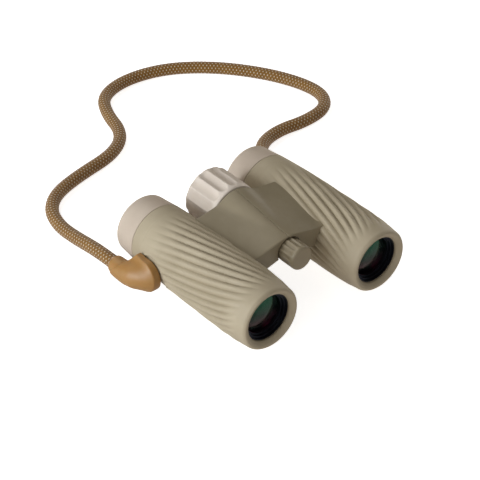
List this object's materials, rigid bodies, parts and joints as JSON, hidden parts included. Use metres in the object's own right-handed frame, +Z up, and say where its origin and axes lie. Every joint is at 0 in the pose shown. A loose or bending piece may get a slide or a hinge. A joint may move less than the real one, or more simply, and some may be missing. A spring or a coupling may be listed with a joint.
{
  "type": "binoculars",
  "caption": "Compact roof-prism binoculars with ribbed rubber armour, a centre focus wheel, twist-up eyecups, a front diopter dial and a braided rope strap on moulded connectors.",
  "frame": {"origin": "on the ground under the middle of the body, between the two barrels", "axes": "+Z up, +Y from the objectives towards the eye, +X towards the user's left barrel"},
  "size_m": [0.2082, 0.2486, 0.0428],
  "materials": {
    "armour": "matte",
    "bridge": "matte",
    "eyecup_rubber": "matte",
    "eyecup_sleeve": "matte",
    "black_anodised": "matte",
    "aluminium": "satin",
    "objective_glass": "coated",
    "glass": "polished",
    "seal": "matte",
    "steel": "satin",
    "bronze": "satin",
    "wheel": "satin",
    "dial": "satin",
    "connector": "satin",
    "ferrule": "satin",
    "rope": "braided"
  },
  "bodies": {
    "right_half": {"right_armour": "armour", "right_barrel_tube": "aluminium", "right_bridge": "bridge", "right_objective_baffle": "black_anodised", "right_objective_cell": "black_anodised", "right_objective_crown": "objective_glass", "right_objective_flint": "objective_glass", "right_prism_cage": "black_anodised", "right_front_prism": "glass", "right_rear_prism": "glass", "right_eyepiece_tube": "aluminium", "right_field_lens": "glass", "right_eye_lens": "glass", "right_rear_ring": "black_anodised", "right_seals": "seal", "right_strap_lug": "steel", "right_strap_connector": "connector", "right_rope_ferrule": "ferrule", "hinge_tube": "steel", "hinge_washers": "bronze", "strap_rope": "rope"},
    "left_half": {"left_armour": "armour", "left_barrel_tube": "aluminium", "left_bridge": "bridge", "left_objective_baffle": "black_anodised", "left_objective_cell": "black_anodised", "left_objective_crown": "objective_glass", "left_objective_flint": "objective_glass", "left_prism_cage": "black_anodised", "left_front_prism": "glass", "left_rear_prism": "glass", "left_eyepiece_tube": "aluminium", "left_field_lens": "glass", "left_eye_lens": "glass", "left_rear_ring": "black_anodised", "left_seals": "seal", "left_strap_lug": "steel", "left_strap_connector": "connector", "left_rope_ferrule": "ferrule"},
    "focus_wheel": {"focus_wheel": "wheel", "wheel_cap": "wheel", "wheel_screw": "steel", "focus_screw": "steel"},
    "focus_carriage": {"focus_carriage": "aluminium"},
    "diopter_dial": {"diopter_dial": "dial", "diopter_rod": "steel"},
    "right_focus_group": {"right_focus_arm": "aluminium", "right_focus_cell": "black_anodised", "right_focus_lens": "glass", "diopter_collar": "aluminium"},
    "left_focus_group": {"left_focus_arm": "aluminium", "left_focus_cell": "black_anodised", "left_focus_lens": "glass"},
    "right_eyecup_guide": {"right_eyecup_guide": "eyecup_sleeve"},
    "right_eyecup": {"right_eyecup_sleeve": "eyecup_sleeve", "right_eyecup_rubber": "eyecup_rubber"},
    "left_eyecup_guide": {"left_eyecup_guide": "eyecup_sleeve"},
    "left_eyecup": {"left_eyecup_sleeve": "eyecup_sleeve", "left_eyecup_rubber": "eyecup_rubber"}
  },
  "joints": [
    {"name": "fold", "type": "hinge", "parent": "right_half", "child": "left_half", "pos_m": [0, 0, 0.0277], "axis": [0, 1, 0], "range_deg": [0, 50]},
    {"name": "focus_wheel_turn", "type": "hinge", "parent": "right_half", "child": "focus_wheel", "pos_m": [0, 0, 0.0277], "axis": [0, 1, 0], "range_deg": [0, 340]},
    {"name": "carriage_slide", "type": "slide", "parent": "right_half", "child": "focus_carriage", "axis": [0, 1, 0], "range_m": [0, 0.005]},
    {"name": "left_focus_slide", "type": "slide", "parent": "left_half", "child": "left_focus_group", "axis": [0, 1, 0], "range_m": [0, 0.005]},
    {"name": "diopter_turn", "type": "hinge", "parent": "right_half", "child": "diopter_dial", "pos_m": [0, 0, 0.0277], "axis": [0, 1, 0], "range_deg": [-120, 120]},
    {"name": "right_diopter_slide", "type": "slide", "parent": "focus_carriage", "child": "right_focus_group", "axis": [0, 1, 0], "range_m": [-0.0008, 0.0008]},
    {"name": "right_eyecup_twist", "type": "hinge", "parent": "right_half", "child": "right_eyecup_guide", "pos_m": [-0.036, 0, 0.019], "axis": [0, 1, 0], "range_deg": [0, 120]},
    {"name": "right_eyecup_rise", "type": "slide", "parent": "right_eyecup_guide", "child": "right_eyecup", "axis": [0, 1, 0], "range_m": [0, 0.006]},
    {"name": "left_eyecup_twist", "type": "hinge", "parent": "left_half", "child": "left_eyecup_guide", "pos_m": [0.036, 0, 0.019], "axis": [0, 1, 0], "range_deg": [0, 120]},
    {"name": "left_eyecup_rise", "type": "slide", "parent": "left_eyecup_guide", "child": "left_eyecup", "axis": [0, 1, 0], "range_m": [0, 0.006]}
  ],
  "couplings": [
    {"joint": "focus_wheel_turn", "follows": "carriage_slide", "rad_per_m": 1186},
    {"joint": "left_focus_slide", "follows": "carriage_slide", "ratio": 1},
    {"joint": "diopter_turn", "follows": "right_diopter_slide", "rad_per_m": 2610},
    {"joint": "right_eyecup_rise", "follows": "right_eyecup_twist", "m_per_rad": 0.00286},
    {"joint": "left_eyecup_rise", "follows": "left_eyecup_twist", "m_per_rad": 0.00286}
  ]
}
